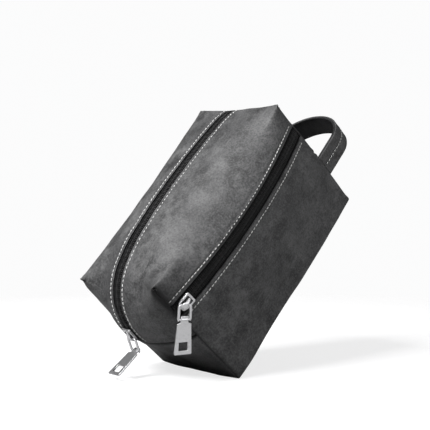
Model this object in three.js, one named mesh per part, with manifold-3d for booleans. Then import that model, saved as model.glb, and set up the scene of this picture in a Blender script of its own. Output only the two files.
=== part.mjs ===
// Leather shaving kit bag: a boxed pouch with two zips, a side handle and
// hanging zip pulls.  Millimetres, +Z up, origin at the middle of the base.
// +X points to the handle end, -X to the end where the sliders rest when shut.
import * as THREE from 'three';
import { mergeVertices } from 'three/addons/utils/BufferGeometryUtils.js';
import Module from 'manifold-3d';

const wasm = await Module();
wasm.setup();

// ---------------------------------------------------------------- sizes
const LENGTH = 240;
const WIDTH = 126;
const HEIGHT = 146;

const HALF_L = LENGTH / 2;
const HALF_W = WIDTH / 2;
const HALF_H = HEIGHT / 2;

const CROWN = HEIGHT * 0.065;
const NEAR_BULGE = LENGTH * 0.079;
const FAR_BULGE = LENGTH * 0.025;
const RIGHT_BULGE = WIDTH * 0.135;
const LEFT_BULGE = WIDTH * 0.056;
const NEAR_ROUND = 3;
const FAR_ROUND = 14;
const RIGHT_ROUND = 3.6;
const LEFT_ROUND = 6;
const CORNER_HOLD = 0.985;

const GAP = 0.3;
const LEATHER = 1.8;
const LINING = 0.6;
const TAPE = 0.6;
const TAPE_DEPTH = LEATHER + 2 * GAP;
const LINING_DEPTH = LEATHER + 4 * TAPE;

// zips: where they run, and how wide their opening in the leather is
const LEFT_V = 0.08;
const RIGHT_W = 0.5;
const LEFT_Y = WIDTH / 14;
const RIGHT_Z = HEIGHT * 0.7466;
const ZIP_HALF = 6.5;
const RIGHT_ZIP_HALF = 7.9;
const ZIP_SLOT = 0.95;
const COIL_WIDTH = 4;
const COIL_PROUD = 0.4;
const TAPE_HALF = 12.5;
const RIGHT_TAPE_HALF = 15;
const LINING_HALF = 9;
const STITCH_OFFSET = 10;
const RIGHT_STITCH_OFFSET = 12.4;
const THREAD_WIDTH = 1;
const THREAD_HIGH = 0.6;

// the left zip turns over the near end on this circle, in the X-Z plane
const LEFT_ARC_R = HEIGHT * 0.411;
const LEFT_ARC_X = -(HALF_L + NEAR_BULGE + 1.04) + LEFT_ARC_R;
const LEFT_ARC_Z = HALF_H + CROWN + HEIGHT * 0.44863 - LEFT_ARC_R;
// past this angle, in degrees, the zip leaves the circle in a straight line
const ARC_END = 76;
// the right zip is bowed out on this circle, in plan
const RIGHT_BOW = 16;
const RIGHT_ARC_R = (HALF_L * HALF_L + RIGHT_BOW * RIGHT_BOW) / (2 * RIGHT_BOW);
const RIGHT_ARC_Y = RIGHT_ARC_R - HALF_W - RIGHT_BOW;

// slider, link and tab
const SLIDER_LONG = 17;
const SLIDER_HALF = 6.4;
const SLIDER_PLATE = 1.5;
const SLIDER_LIFT = COIL_PROUD + 0.5;
const POST_HALF = 0.6;
const BRIDGE_HALF = 1.7;
const BRIDGE_INSIDE = 3.5;
const BRIDGE_BACK = 2.5;
const LINK_WIRE = 1.1;
const LINK_LONG = 14;
const LINK_WIDE = 12;
const LINK_CLEAR = 0.35;
const TAB_LONG = 36;
const TAB_TOP = 13.7;
const TAB_END = 17;
const TAB_NECK = 7.5;
const TAB_THICK = 1.8;
const TAB_WINDOW_W = 9.5;
const TAB_WINDOW_H = 8.5;
const TAB_BAR = 3.5;
const EYE_OUT = LINK_WIRE + LINK_CLEAR + 1.1;

// handle
const HANDLE_REACH = 66;
const HANDLE_HIGH = 24;
const HANDLE_Z = 50;
const HANDLE_LAYER = 1.7;

// ---------------------------------------------------------------- colours
const LOOKS = {
  leather: { color: 0x4a4a4b, roughness: 0.62, metalness: 0 },
  lining: { color: 0x1c1c1e, roughness: 0.85, metalness: 0 },
  tape: { color: 0x0e0e0f, roughness: 0.8, metalness: 0 },
  coil: { color: 0x18181a, roughness: 0.4, metalness: 0 },
  thread: { color: 0xd8d8d6, roughness: 0.7, metalness: 0 },
  nickel: { color: 0xb9b9ba, roughness: 0.25, metalness: 1 },
};

const group = new THREE.Group();

function addPiece(name, geometry, look) {
  const mesh = new THREE.Mesh(geometry, new THREE.MeshStandardMaterial(LOOKS[look]));
  mesh.name = name;
  group.add(mesh);
  return mesh;
}

// ---------------------------------------------------------------- the bag's surface
// Every point of the bag is given by u, v, w from -1 to 1 on a cube's skin:
// u along the length, v across, w up.
function smooth(x, lo, hi) {
  const t = Math.min(1, Math.max(0, (x - lo) / (hi - lo)));
  return t * t * (3 - 2 * t);
}

function roundOff(p, q, n) {
  const m = Math.max(Math.abs(p), q) + 1e-9;
  const s = (Math.abs(p) / m) ** n + (q / m) ** n;
  return s > 1e-6 ? 1 / s ** (1 / n) : 1;
}

function surfacePoint(u, v, w) {
  const up = Math.max(w, 0);
  const endRound = (u < 0 ? NEAR_ROUND : FAR_ROUND) / (1 - CORNER_HOLD * v * v);
  const sideRound = (v < 0 ? RIGHT_ROUND : LEFT_ROUND) / (1 - CORNER_HOLD * u * u);
  const k1 = roundOff(u, up, endRound);
  const k2 = roundOff(v, up, sideRound);
  const full = 0.12 + 0.88 * smooth(w, -1, 0.15);
  const reach = HALF_L + (u < 0 ? NEAR_BULGE : FAR_BULGE) * (1 - v * v) * full;
  const sideBulge = v < 0 ? RIGHT_BULGE : LEFT_BULGE;
  const wide = HALF_W + sideBulge * (1 - u * u) * full;
  const high = HALF_H + CROWN * up * (1 - u * u) ** 0.7 * (1 - v * v);
  const x = u * k1 * reach;
  const y = v * k2 * wide;
  const z = HALF_H + w * k1 * k2 * high;
  // near the left zip the surface follows the zip's plane and circle
  const f = (1 - smooth(Math.abs(v - LEFT_V), 0.13, 0.62)) * smooth(w, -0.25, 0.05);
  const leftWide = HALF_W + LEFT_BULGE * (1 - u * u) * full;
  const plainY = LEFT_V * roundOff(LEFT_V, up, sideRound) * leftWide;
  const dx = x - LEFT_ARC_X;
  const dz = z - LEFT_ARC_Z;
  const r = Math.hypot(dx, dz) + 1e-9;
  const turn = THREE.MathUtils.radToDeg(Math.atan2(dz, -dx));
  const zone = u < 0 ? smooth(turn, -22, -2) * (1 - smooth(turn, 88, 118)) : 0;
  const beyond = THREE.MathUtils.degToRad(Math.min(Math.max(turn - ARC_END, 0), 45));
  const q = (LEFT_ARC_R / Math.cos(beyond) / r - 1) * zone * f;
  // near the right zip it follows the zip's level and its bow in plan
  const g = v < 0 ? (1 - smooth(Math.abs(w - RIGHT_W), 0.13, 0.45)) * smooth(-v, 0.55, 0.9) : 0;
  const bowY = RIGHT_ARC_Y - Math.sqrt(RIGHT_ARC_R * RIGHT_ARC_R - x * x);
  const rightWide = HALF_W + RIGHT_BULGE * (1 - u * u) * full;
  const plainSide = -rightWide * roundOff(1, up, sideRound);
  const plainZ = HALF_H + RIGHT_W * HALF_H
    * roundOff(u, RIGHT_W, endRound) * roundOff(1, RIGHT_W, sideRound);
  return new THREE.Vector3(
    x + dx * q,
    y + (bowY - plainSide) * g + (LEFT_Y - plainY) * f,
    z + dz * q + (RIGHT_Z - plainZ) * g,
  );
}

// the six faces: which value is fixed, and whether the grid has to be turned over
const FACES = {
  near: { at: (s, t) => [-1, s, t], flip: true },
  far: { at: (s, t) => [1, s, t], flip: false },
  right: { at: (s, t) => [s, -1, t], flip: false },
  left: { at: (s, t) => [s, 1, t], flip: true },
  top: { at: (s, t) => [s, t, 1], flip: false },
  base: { at: (s, t) => [s, t, -1], flip: true },
};

function faceNormal(face, s, t) {
  const e = 0.012;
  const at = (p, q) => surfacePoint(...FACES[face].at(
    THREE.MathUtils.clamp(p, -1, 1),
    THREE.MathUtils.clamp(q, -1, 1),
  ));
  const along = at(s + e, t).sub(at(s - e, t));
  const across = at(s, t + e).sub(at(s, t - e));
  const normal = along.cross(across).normalize();
  return FACES[face].flip ? normal.negate() : normal;
}

// the step that moves one skin point in by a depth from all the faces it lies on
function inwardStep(normals) {
  const kinds = [];
  for (const n of normals) {
    const near = kinds.find((k) => k.clone().normalize().dot(n) > 0.97);
    if (near) {
      near.add(n);
    } else {
      kinds.push(n.clone());
    }
  }
  kinds.forEach((k) => k.normalize());
  if (kinds.length === 1) {
    return kinds[0].negate();
  }
  if (kinds.length === 2) {
    const sum = kinds[0].clone().add(kinds[1]);
    return sum.multiplyScalar(-1 / (1 + kinds[0].dot(kinds[1])));
  }
  const [p, q, r] = kinds;
  const det = p.dot(q.clone().cross(r));
  return q.clone().cross(r)
    .add(r.clone().cross(p))
    .add(p.clone().cross(q))
    .multiplyScalar(-1 / det);
}

// A panel is made of grids on the faces, joined wherever they share points,
// and is as thick as the difference of its two depths.
function panel(patches, outerDepth, innerDepth) {
  const index = new Map();
  const points = [];
  const quads = [];
  for (const { face, along, across, shift } of patches) {
    const grid = along.map((s, i) => across.map((t, j) => {
      const [p, q] = shift ? shift(s, t, i, j) : [s, t];
      const uvw = FACES[face].at(p, q);
      const key = uvw.map((value) => value.toFixed(5)).join();
      if (!index.has(key)) {
        index.set(key, points.length);
        points.push({ at: surfacePoint(...uvw), normals: [] });
      }
      points[index.get(key)].normals.push(faceNormal(face, p, q));
      return index.get(key);
    }));
    for (let i = 0; i + 1 < along.length; i += 1) {
      for (let j = 0; j + 1 < across.length; j += 1) {
        const quad = [grid[i][j], grid[i + 1][j], grid[i + 1][j + 1], grid[i][j + 1]];
        quads.push(FACES[face].flip ? quad.reverse() : quad);
      }
    }
  }
  const positions = [];
  const steps = points.map((point) => inwardStep(point.normals));
  for (const depth of [outerDepth, innerDepth]) {
    points.forEach((point, k) => {
      positions.push(...point.at.clone().addScaledVector(steps[k], depth).toArray());
    });
  }
  const triangles = [];
  const edges = new Set();
  for (const quad of quads) {
    quad.forEach((from, k) => edges.add(`${from},${quad[(k + 1) % 4]}`));
  }
  const under = points.length;
  for (const [p, q, r, s] of quads) {
    triangles.push(p, q, r, p, r, s);
    triangles.push(p + under, r + under, q + under, p + under, s + under, r + under);
  }
  for (const edge of edges) {
    const [p, q] = edge.split(',').map(Number);
    if (!edges.has(`${q},${p}`)) {
      triangles.push(q, p, p + under, q, p + under, q + under);
    }
  }
  const geometry = new THREE.BufferGeometry();
  geometry.setAttribute('position', new THREE.Float32BufferAttribute(positions, 3));
  geometry.setIndex(triangles);
  return geometry;
}

// ---------------------------------------------------------------- shared grid lines
const END_GAP = (1.5 * GAP) / HALF_H;
const V_ZIP = ZIP_HALF / HALF_W;
const V_TAPE = TAPE_HALF / HALF_W;
const W_ZIP = RIGHT_ZIP_HALF / HALF_H;

const U_ALL = [-1, -0.95, -0.89, -0.82, -0.74, -0.65, -0.5, -0.27, 0, 0.27, 0.5, 0.7, 0.88, 1];
const U_COARSE = [-1, -0.86, -0.68, -0.4, 0, 0.4, 0.7, 1];
const W_LOW = [-1, -0.65, -0.3, 0];

function vRight(half) {
  return [-1, -0.8, -0.53, -0.25, LEFT_V - V_TAPE, LEFT_V - half];
}

function vLeft(half) {
  return [LEFT_V + half, LEFT_V + V_TAPE, 0.4, 0.66, 0.86, 1];
}

function wHigh(half) {
  return [RIGHT_W + half, 0.7, 0.8, 0.9, 1];
}

function wMid(half) {
  return [0.1, 0.2, 0.3, RIGHT_W - half];
}

// the wrap goes under the bag from the right zip round to the left zip
function wrapPatches(vHalf, wHalf, u = U_ALL, pull = 0) {
  const v = [...vRight(vHalf), ...vLeft(vHalf)];
  const wLowMid = [...W_LOW, ...wMid(wHalf)];
  const wFull = [...wLowMid, ...wHigh(wHalf)];
  const wUp = wFull.filter((w) => w >= 0);
  const pulled = (s, t) => [Math.abs(s) === 1 && t > 0 ? s * (1 - pull) : s, t];
  return [
    { face: 'base', along: u, across: v },
    { face: 'right', along: u, across: wLowMid, shift: pulled },
    { face: 'left', along: u, across: wFull },
    { face: 'top', along: u, across: vLeft(vHalf) },
    { face: 'near', along: v, across: W_LOW },
    { face: 'far', along: v, across: W_LOW },
    { face: 'near', along: vLeft(vHalf), across: wUp },
    { face: 'far', along: vLeft(vHalf), across: wUp },
  ];
}

// the flap is the top between the zips, with the upper right half of each end
function flapPatches(vHalf, wHalf, tuck, u = U_ALL) {
  const v = vRight(vHalf);
  const wUp = [END_GAP, ...wMid(wHalf), ...wHigh(wHalf)];
  const tucked = (s, t) => [s === -1 && t < RIGHT_W ? -1 + tuck : s, t];
  return [
    { face: 'top', along: u, across: v },
    { face: 'right', along: u, across: wHigh(wHalf) },
    { face: 'near', along: v, across: wUp, shift: tucked },
    { face: 'far', along: v, across: wUp, shift: tucked },
  ];
}

const TUCK = (LEATHER + 5 * GAP) / HALF_W;
const LINING_TUCK = (LINING_DEPTH + LINING + 8 * GAP) / HALF_W;
const V_LINING = LINING_HALF / HALF_W;
const W_LINING = (LINING_HALF + RIGHT_ZIP_HALF - ZIP_HALF) / HALF_H;

addPiece('wrap_panel', panel(wrapPatches(V_ZIP, W_ZIP), 0, LEATHER), 'leather');
addPiece('flap_panel', panel(flapPatches(V_ZIP, W_ZIP, TUCK), 0, LEATHER), 'leather');
addPiece(
  'wrap_lining',
  panel(
    wrapPatches(V_LINING, W_LINING, U_COARSE, LINING_DEPTH / HALF_L),
    LINING_DEPTH,
    LINING_DEPTH + LINING,
  ),
  'lining',
);
addPiece(
  'flap_lining',
  panel(
    flapPatches(V_LINING, W_LINING, LINING_TUCK, U_COARSE),
    LINING_DEPTH,
    LINING_DEPTH + LINING,
  ),
  'lining',
);

// ---------------------------------------------------------------- the two zips
// A band runs beside a zip from one distance to another, on one side of it.
function leftBand(side, from, to, low) {
  const v = [LEFT_V + (side * from) / HALF_W, LEFT_V + (side * to) / HALF_W]
    .sort((p, q) => p - q);
  const w = [low, 0, ...wMid(W_ZIP), ...wHigh(W_ZIP)].filter((value) => value >= low);
  return [
    { face: 'top', along: U_ALL, across: v },
    { face: 'near', along: v, across: w },
    { face: 'far', along: v, across: w },
  ];
}

function rightBand(side, from, to, end) {
  const w = [RIGHT_W + (side * from) / HALF_H, RIGHT_W + (side * to) / HALF_H]
    .sort((p, q) => p - q);
  const u = U_ALL.map((value) => THREE.MathUtils.clamp(value, -end, end))
    .filter((value, k, all) => all.indexOf(value) === k);
  return [{ face: 'right', along: u, across: w }];
}

const TAPE_LOW = -0.07;
const COIL_LOW = 0.01;
const TAPE_END = 0.962;
const COIL_END = 0.968;
const THREAD_END = 0.985;
const COIL_TO = ZIP_SLOT + COIL_WIDTH;
const THREAD_IN = STITCH_OFFSET - THREAD_WIDTH / 2;
const THREAD_OUT = STITCH_OFFSET + THREAD_WIDTH / 2;
const RIGHT_THREAD_IN = RIGHT_STITCH_OFFSET - THREAD_WIDTH / 2;
const RIGHT_THREAD_OUT = RIGHT_STITCH_OFFSET + THREAD_WIDTH / 2;
const THREAD_LOW = 0.02;

for (const [name, side] of [['outer', 1], ['inner', -1]]) {
  addPiece(
    `left_zip_tape_${name}`,
    panel(leftBand(side, ZIP_SLOT, TAPE_HALF, TAPE_LOW), TAPE_DEPTH, TAPE_DEPTH + TAPE),
    'tape',
  );
  addPiece(
    `left_zip_coil_${name}`,
    panel(leftBand(side, ZIP_SLOT, COIL_TO, COIL_LOW), -COIL_PROUD, TAPE_DEPTH - GAP),
    'coil',
  );
  addPiece(
    `left_zip_stitches_${name}`,
    panel(leftBand(side, THREAD_IN, THREAD_OUT, THREAD_LOW), -GAP - THREAD_HIGH, -GAP),
    'thread',
  );
}
for (const [name, side] of [['upper', 1], ['lower', -1]]) {
  addPiece(
    `right_zip_tape_${name}`,
    panel(rightBand(side, ZIP_SLOT, RIGHT_TAPE_HALF, TAPE_END), TAPE_DEPTH, TAPE_DEPTH + TAPE),
    'tape',
  );
  addPiece(
    `right_zip_coil_${name}`,
    panel(rightBand(side, ZIP_SLOT, COIL_TO, COIL_END), -COIL_PROUD, TAPE_DEPTH - GAP),
    'coil',
  );
  addPiece(
    `right_zip_stitches_${name}`,
    panel(
      rightBand(side, RIGHT_THREAD_IN, RIGHT_THREAD_OUT, THREAD_END),
      -GAP - THREAD_HIGH,
      -GAP,
    ),
    'thread',
  );
}

// ---------------------------------------------------------------- sweeping and cutting
// rings of equal size, joined one after another and closed at both ends
function loft(rings, closed = false) {
  const size = rings[0].length;
  const positions = rings.flat().flatMap((point) => point.toArray());
  const triangles = [];
  const last = closed ? rings.length : rings.length - 1;
  for (let i = 0; i < last; i += 1) {
    const next = (i + 1) % rings.length;
    for (let j = 0; j < size; j += 1) {
      const j2 = (j + 1) % size;
      const [p, q] = [i * size + j, i * size + j2];
      const [r, s] = [next * size + j2, next * size + j];
      triangles.push(p, q, r, p, r, s);
    }
  }
  if (!closed) {
    const end = (rings.length - 1) * size;
    for (let j = 1; j + 1 < size; j += 1) {
      triangles.push(0, j + 1, j);
      triangles.push(end, end + j, end + j + 1);
    }
  }
  const geometry = new THREE.BufferGeometry();
  geometry.setAttribute('position', new THREE.Float32BufferAttribute(positions, 3));
  geometry.setIndex(triangles);
  return faceOut(geometry);
}

function faceOut(geometry) {
  const p = geometry.getAttribute('position');
  const index = geometry.getIndex();
  const [a, b, c] = [new THREE.Vector3(), new THREE.Vector3(), new THREE.Vector3()];
  let volume = 0;
  for (let k = 0; k < index.count; k += 3) {
    a.fromBufferAttribute(p, index.getX(k));
    b.fromBufferAttribute(p, index.getX(k + 1));
    c.fromBufferAttribute(p, index.getX(k + 2));
    volume += a.dot(b.cross(c));
  }
  if (volume < 0) {
    for (let k = 0; k < index.count; k += 3) {
      const keep = index.getX(k);
      index.setX(k, index.getX(k + 1));
      index.setX(k + 1, keep);
    }
  }
  return geometry;
}

function toSolid(geometry) {
  const plain = geometry.clone();
  plain.deleteAttribute('normal');
  plain.deleteAttribute('uv');
  const merged = mergeVertices(plain, 1e-4);
  return new wasm.Manifold(new wasm.Mesh({
    numProp: 3,
    vertProperties: new Float32Array(merged.getAttribute('position').array),
    triVerts: new Uint32Array(merged.getIndex().array),
  }));
}

function fromSolid(solid) {
  const mesh = solid.getMesh();
  const geometry = new THREE.BufferGeometry();
  geometry.setAttribute('position', new THREE.Float32BufferAttribute(mesh.vertProperties, 3));
  geometry.setIndex([...mesh.triVerts]);
  return geometry;
}

// ---------------------------------------------------------------- sliders
// A frame says where a slider's own s (along), t (across) and h (off the skin) are.
const tiltPoint = faceNormal('right', 0, RIGHT_W);
const RIGHT_TILT = Math.asin(THREE.MathUtils.clamp(tiltPoint.z, 0, 0.6));

function leftFrame(angle) {
  return (s, t, h) => {
    const turn = angle + s / LEFT_ARC_R;
    return new THREE.Vector3(
      LEFT_ARC_X - (LEFT_ARC_R + h) * Math.cos(turn),
      LEFT_Y + t,
      LEFT_ARC_Z + (LEFT_ARC_R + h) * Math.sin(turn),
    );
  };
}

function rightFrame(angle) {
  return (s, t, h) => {
    const turn = angle + s / RIGHT_ARC_R;
    const out = RIGHT_ARC_R + h * Math.cos(RIGHT_TILT) - t * Math.sin(RIGHT_TILT);
    return new THREE.Vector3(
      out * Math.sin(turn),
      RIGHT_ARC_Y - out * Math.cos(turn),
      RIGHT_Z + h * Math.sin(RIGHT_TILT) + t * Math.cos(RIGHT_TILT),
    );
  };
}

function plate(frame, sides, low, high) {
  return loft(sides.map(([s, half]) => [
    frame(s, -half, low),
    frame(s, half, low),
    frame(s, half, high),
    frame(s, -half, high),
  ]));
}

const PLATE_TOP = SLIDER_LIFT + SLIDER_PLATE;
const UNDER_TOP = -(TAPE_DEPTH + TAPE + 2 * GAP);
const UNDER_LOW = UNDER_TOP - 1.1;
const BAR_H = PLATE_TOP + LINK_CLEAR + LINK_WIRE;
const ARCH_IN = BAR_H + LINK_WIRE + LINK_CLEAR;
const ARCH_OUT = ARCH_IN + 1.3;

function sliderSolid(frame) {
  const nose = SLIDER_LONG / 2;
  const outline = [
    [-nose, 3.4], [-nose + 2, SLIDER_HALF - 0.7], [-nose + 4, SLIDER_HALF], [0, SLIDER_HALF],
    [nose - 4, SLIDER_HALF - 1.2], [nose, SLIDER_HALF - 2],
  ];
  const crown = toSolid(plate(frame, outline, SLIDER_LIFT, PLATE_TOP));
  const under = toSolid(plate(frame, outline.map(([s, half]) => [s, half - 0.6]),
    UNDER_LOW, UNDER_TOP));
  const post = toSolid(plate(frame, [[-nose + 1.2, POST_HALF], [-nose + 3, POST_HALF],
    [-nose + 5.5, POST_HALF]], UNDER_LOW + 0.4, PLATE_TOP - 0.4));
  const legOut = BRIDGE_INSIDE + 1.6;
  const arch = [
    [-legOut, PLATE_TOP - 0.5, -BRIDGE_INSIDE, PLATE_TOP - 0.5],
    [-legOut, BAR_H, -BRIDGE_INSIDE, BAR_H],
    [-legOut + 1.5, ARCH_OUT - 0.5, -BRIDGE_INSIDE + 1, ARCH_IN - 0.2],
    [-1.2, ARCH_OUT, -1.2, ARCH_IN],
    [1.2, ARCH_OUT, 1.2, ARCH_IN],
    [legOut - 1.5, ARCH_OUT - 0.5, BRIDGE_INSIDE - 1, ARCH_IN - 0.2],
    [legOut, BAR_H, BRIDGE_INSIDE, BAR_H],
    [legOut, PLATE_TOP - 0.5, BRIDGE_INSIDE, PLATE_TOP - 0.5],
  ];
  const bridge = toSolid(loft(arch.map(([s1, h1, s2, h2]) => [
    frame(s1 - BRIDGE_BACK, -BRIDGE_HALF, h1),
    frame(s1 - BRIDGE_BACK, BRIDGE_HALF, h1),
    frame(s2 - BRIDGE_BACK, BRIDGE_HALF, h2),
    frame(s2 - BRIDGE_BACK, -BRIDGE_HALF, h2),
  ])));
  return fromSolid(crown.add(under).add(post).add(bridge));
}

// The link is a closed wire loop: its top bar passes under the bridge.
// In its own frame the top bar is on X, the loop hangs down -Z.
function linkGeometry() {
  const path = [];
  const half = LINK_WIDE / 2;
  const r = 2.4;
  const corners = [[half, 0, 90], [half, -LINK_LONG, 0], [-half, -LINK_LONG, -90],
    [-half, 0, -180]];
  for (const [x, z, start] of corners) {
    for (const part of [0, 45, 90]) {
      const turn = THREE.MathUtils.degToRad(start - part);
      const cx = x - Math.sign(x) * r;
      const cz = z + (z === 0 ? -r : r);
      path.push([cx + r * Math.cos(turn), cz + r * Math.sin(turn), turn]);
    }
  }
  const sides = 8;
  return loft(path.map(([x, z, turn]) => Array.from({ length: sides }, (_, k) => {
    const a = ((k + 0.5) * 2 * Math.PI) / sides;
    const out = LINK_WIRE * Math.cos(a);
    return new THREE.Vector3(x + out * Math.cos(turn), LINK_WIRE * Math.sin(a),
      z + out * Math.sin(turn));
  })), true);
}

// The tab hangs from an eye round the link's lower bar.
// In its own frame the eye's axis is X and the tab hangs down -Z.
function tabGeometry() {
  const shape = new THREE.Shape();
  const neckEnd = -EYE_OUT - 4.5;
  const end = -TAB_LONG + EYE_OUT;
  const half = TAB_END / 2;
  shape.moveTo(TAB_NECK / 2, -1);
  shape.lineTo(TAB_NECK / 2, neckEnd);
  shape.lineTo(TAB_TOP / 2, neckEnd - 2.5);
  shape.lineTo(half, end + 1);
  shape.lineTo(half - 1, end);
  shape.lineTo(-half + 1, end);
  shape.lineTo(-half, end + 1);
  shape.lineTo(-TAB_TOP / 2, neckEnd - 2.5);
  shape.lineTo(-TAB_NECK / 2, neckEnd);
  shape.lineTo(-TAB_NECK / 2, -1);
  const hole = new THREE.Path();
  const low = end + TAB_BAR;
  hole.moveTo(-TAB_WINDOW_W / 2, low);
  hole.lineTo(TAB_WINDOW_W / 2, low);
  hole.lineTo(TAB_WINDOW_W / 2, low + TAB_WINDOW_H);
  hole.lineTo(-TAB_WINDOW_W / 2, low + TAB_WINDOW_H);
  shape.holes.push(hole);
  const flat = new THREE.ExtrudeGeometry(shape, { depth: TAB_THICK, bevelEnabled: false });
  flat.translate(0, 0, -TAB_THICK / 2);
  flat.rotateX(Math.PI / 2);
  const eye = new THREE.CylinderGeometry(EYE_OUT, EYE_OUT, TAB_NECK, 20);
  eye.rotateZ(Math.PI / 2);
  const bore = new THREE.CylinderGeometry(
    LINK_WIRE + LINK_CLEAR,
    LINK_WIRE + LINK_CLEAR,
    TAB_NECK + 4,
    20,
  );
  bore.rotateZ(Math.PI / 2);
  return fromSolid(toSolid(flat).add(toSolid(eye)).subtract(toSolid(bore)));
}

// places a hanging piece: its top at a point, hanging along "down", its bar along "bar"
function hang(geometry, point, down, bar) {
  const z = down.clone().normalize().negate();
  const x = bar.clone().addScaledVector(z, -bar.dot(z)).normalize();
  const y = z.clone().cross(x);
  geometry.applyMatrix4(new THREE.Matrix4().makeBasis(x, y, z).setPosition(point));
  return geometry;
}

const LEFT_REST = THREE.MathUtils.degToRad(1.5);
const RIGHT_REST = -Math.asin((HALF_L * 0.885) / RIGHT_ARC_R);
const leftAt = leftFrame(LEFT_REST);
const rightAt = rightFrame(RIGHT_REST);
addPiece('left_slider', sliderSolid(leftAt), 'nickel');
addPiece('right_slider', sliderSolid(rightAt), 'nickel');

const leftPin = leftAt(-BRIDGE_BACK, 0, BAR_H);
const leftDown = new THREE.Vector3(-0.44, 0, -0.9).normalize();
const leftBar = new THREE.Vector3(0, 1, 0);
const leftTabDown = new THREE.Vector3(-0.985, 0, 0.17).normalize();
addPiece('left_link', hang(linkGeometry(), leftPin, leftDown, leftBar), 'nickel');
const leftEye = leftPin.clone().addScaledVector(leftDown, LINK_LONG);
addPiece('left_tab', hang(tabGeometry(), leftEye, leftTabDown, leftBar), 'nickel');

// the right pull hangs slantwise, just clear of the leather under it
const rightPin = rightAt(-BRIDGE_BACK, 0, BAR_H);
const off = rightAt(-BRIDGE_BACK, 0, BAR_H + 1).sub(rightPin);
const slant = new THREE.Vector3(-0.743, 0, -0.67);
slant.addScaledVector(off, -slant.dot(off)).normalize();
const PULL_LEAN = THREE.MathUtils.degToRad(4);
const rightDown = slant.clone().multiplyScalar(Math.cos(PULL_LEAN))
  .addScaledVector(off, Math.sin(PULL_LEAN));
const rightBar = off.clone().cross(rightDown).normalize();
addPiece('right_link', hang(linkGeometry(), rightPin, rightDown, rightBar), 'nickel');
const rightEye = rightPin.clone().addScaledVector(rightDown, LINK_LONG);
addPiece('right_tab', hang(tabGeometry(), rightEye, rightDown, rightBar), 'nickel');

// ---------------------------------------------------------------- handle
// A flat strap of two layers leaves one far corner, turns and comes back to the other.
const handleX = HALF_L + 2.2;
const handleY = HALF_W - 5.5;
const handleLine = new THREE.CatmullRomCurve3([
  new THREE.Vector3(handleX, -handleY, 0),
  new THREE.Vector3(handleX + 20, -handleY + 0.5, 0),
  new THREE.Vector3(handleX + 40, -handleY + 2.5, 0),
  new THREE.Vector3(handleX + HANDLE_REACH - 9, -handleY * 0.74, 0),
  new THREE.Vector3(handleX + HANDLE_REACH - 1.5, -handleY * 0.42, 0),
  new THREE.Vector3(handleX + HANDLE_REACH - 1, -handleY * 0.05, 0),
  new THREE.Vector3(handleX + HANDLE_REACH - 7, handleY * 0.26, 0),
  new THREE.Vector3(handleX + HANDLE_REACH - 20, handleY * 0.58, 0),
  new THREE.Vector3(handleX + 24, handleY * 0.86, 0),
  new THREE.Vector3(handleX, handleY, 0),
]);
const HANDLE_STEPS = 36;

function strap(inner, outer, low, high, first = 0, last = HANDLE_STEPS) {
  const rings = [];
  for (let k = first; k <= last; k += 1) {
    const point = handleLine.getPoint(k / HANDLE_STEPS);
    const along = handleLine.getTangent(k / HANDLE_STEPS);
    const out = new THREE.Vector3(along.y, -along.x, 0).normalize();
    rings.push([[inner, low], [outer, low], [outer, high], [inner, high]].map(([o, z]) => (
      point.clone().addScaledVector(out, o).setZ(z))));
  }
  return loft(rings);
}

const strapLow = HANDLE_Z - HANDLE_HIGH / 2;
const strapHigh = HANDLE_Z + HANDLE_HIGH / 2;
addPiece('handle_outer_layer', strap(GAP / 2, GAP / 2 + HANDLE_LAYER, strapLow, strapHigh),
  'leather');
addPiece('handle_inner_layer', strap(-GAP / 2 - HANDLE_LAYER, -GAP / 2, strapLow, strapHigh),
  'leather');
const stitchIn = GAP / 2 + HANDLE_LAYER + GAP;
addPiece('handle_stitches', strap(stitchIn, stitchIn + THREAD_HIGH,
  HANDLE_Z - THREAD_WIDTH / 2, HANDLE_Z + THREAD_WIDTH / 2, 1, HANDLE_STEPS - 1), 'thread');

export default group;
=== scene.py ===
import math
import random

import bmesh
import bpy
import numpy as np
from mathutils import Matrix, Vector, noise


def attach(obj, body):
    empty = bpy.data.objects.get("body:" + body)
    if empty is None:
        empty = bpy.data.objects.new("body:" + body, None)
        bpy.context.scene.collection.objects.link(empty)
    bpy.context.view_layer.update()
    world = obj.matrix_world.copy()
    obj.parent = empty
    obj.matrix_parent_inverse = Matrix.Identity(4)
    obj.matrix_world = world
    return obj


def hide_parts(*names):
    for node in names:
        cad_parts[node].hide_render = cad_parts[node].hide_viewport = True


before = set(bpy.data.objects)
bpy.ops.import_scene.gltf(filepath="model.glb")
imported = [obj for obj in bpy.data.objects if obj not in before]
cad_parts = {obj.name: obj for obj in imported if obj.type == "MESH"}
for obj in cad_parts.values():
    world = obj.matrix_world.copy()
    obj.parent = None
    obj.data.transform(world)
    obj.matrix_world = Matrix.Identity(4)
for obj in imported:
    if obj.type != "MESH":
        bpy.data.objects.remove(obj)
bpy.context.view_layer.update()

MM = 0.001

# ---------------- sizes, in mm
LENGTH, WIDTH, HEIGHT = 240.0, 126.0, 146.0
HALF_L, HALF_W, HALF_H = LENGTH / 2, WIDTH / 2, HEIGHT / 2
CROWN = HEIGHT * 0.065
NEAR_BULGE, FAR_BULGE = LENGTH * 0.079, LENGTH * 0.025
RIGHT_BULGE, LEFT_BULGE = WIDTH * 0.135, WIDTH * 0.056
# how sharply each side turns into the top and the base: higher is sharper
NEAR_ROUND, FAR_ROUND, RIGHT_ROUND, LEFT_ROUND = 3.0, 14.0, 3.6, 6.0
BASE_ROUND = 90.0
CORNER_HOLD = 0.985
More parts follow.
